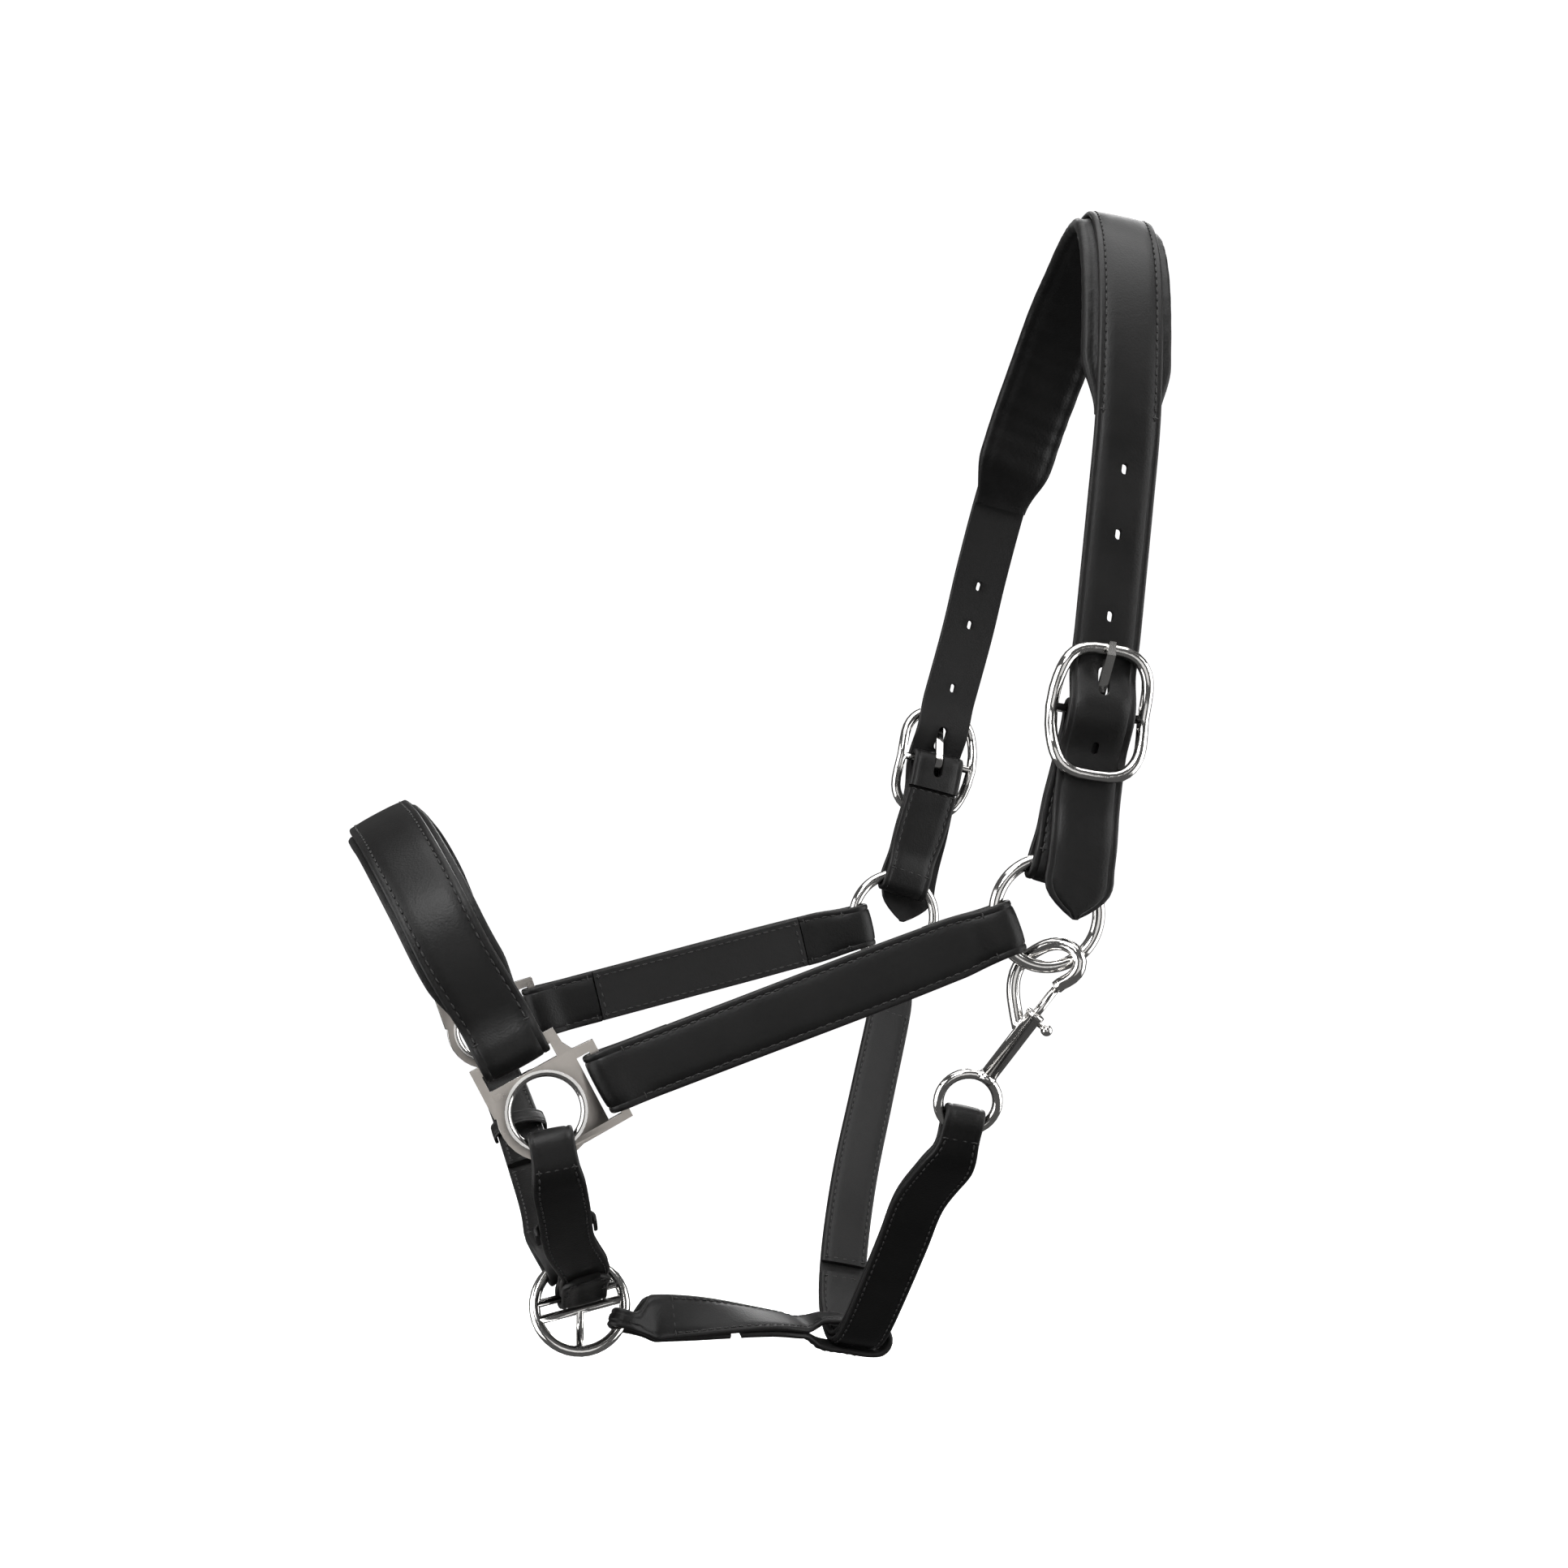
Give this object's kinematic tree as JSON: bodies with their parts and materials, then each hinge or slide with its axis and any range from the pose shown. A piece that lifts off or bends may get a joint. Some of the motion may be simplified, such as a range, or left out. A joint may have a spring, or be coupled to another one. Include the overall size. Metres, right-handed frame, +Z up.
{
  "type": "leather headcollar",
  "caption": "Black leather horse headcollar with padded headpiece and noseband, round rings, cast squares and a bolt snap at the throat.",
  "frame": {"origin": "underside of the crown pad, where it rests on the poll", "axes": "+Z up, +X towards the poll and -X towards the nose, -Y the near side with the bolt snap"},
  "size_m": [0.3112, 0.2236, 0.447],
  "materials": {
    "strap_leather": "black bridle leather, satin",
    "lining_leather": "soft black lining leather",
    "polished_metal": "polished nickel plate",
    "snap_metal": "polished nickel plate",
    "cast_metal": "satin nickel casting with polished edges"
  },
  "bodies": {
    "head": {"headpiece_strap": "strap_leather", "headpiece_pad": "lining_leather", "near_chape": "strap_leather", "far_chape": "strap_leather", "near_buckle_frame": "polished_metal", "far_buckle_frame": "polished_metal"},
    "near_tongue": {"near_buckle_tongue": "polished_metal"},
    "far_tongue": {"far_buckle_tongue": "polished_metal"},
    "near_ring": {"near_cheek_ring": "polished_metal"},
    "far_ring": {"far_cheek_ring": "polished_metal"},
    "nose": {"near_cheek_strap": "strap_leather", "near_cheek_lining": "lining_leather", "far_cheek_strap": "strap_leather", "far_cheek_lining": "lining_leather", "near_square": "cast_metal", "far_square": "cast_metal", "noseband_strap": "strap_leather", "noseband_pad": "lining_leather", "chin_ring": "polished_metal", "near_chin_strap": "strap_leather", "far_chin_strap": "strap_leather", "near_chin_keeper": "strap_leather", "far_chin_keeper": "strap_leather", "back_strap": "strap_leather", "throat_strap": "strap_leather", "snap_swivel_eye": "snap_metal"},
    "snap": {"snap_body": "snap_metal", "snap_spring": "snap_metal"},
    "bolt": {"snap_bolt": "snap_metal", "snap_knob": "snap_metal"}
  },
  "joints": [
    {"name": "near_tongue_lift", "type": "hinge", "parent": "head", "child": "near_tongue", "pos_m": [-0.0369, -0.10339, -0.17757], "axis": [0.9887, -0.0586, -0.1383], "range_deg": [0, 5]},
    {"name": "far_tongue_lift", "type": "hinge", "parent": "head", "child": "far_tongue", "pos_m": [-0.03481, 0.10339, -0.18383], "axis": [-0.9767, -0.0564, 0.207], "range_deg": [0, 5]},
    {"name": "near_ring_spin", "type": "hinge", "parent": "head", "child": "near_ring", "pos_m": [-0.055, -0.1, -0.2485], "axis": [-0.0571, -0.9983, 0.0148], "continuous": true},
    {"name": "far_ring_spin", "type": "hinge", "parent": "head", "child": "far_ring", "pos_m": [-0.056, 0.1, -0.2539], "axis": [-0.0541, 0.9984, 0.0165], "continuous": true},
    {"name": "nose_swing", "type": "hinge", "parent": "head", "child": "nose", "pos_m": [-0.055, -0.1, -0.2485], "axis": [-0.005, 0.9996, -0.027], "range_deg": [-8, 4]},
    {"name": "snap_swivel", "type": "hinge", "parent": "nose", "child": "snap", "pos_m": [-0.07333, -0.09011, -0.3057], "axis": [0.5349, -0.3, 0.7899], "range_deg": [-4, 4]},
    {"name": "bolt_slide", "type": "slide", "parent": "snap", "child": "bolt", "axis": [-0.5349, 0.3, -0.7899], "range_m": [0, 0.009], "stiffness_N_per_m": 200, "springref_m": -0.004}
  ]
}
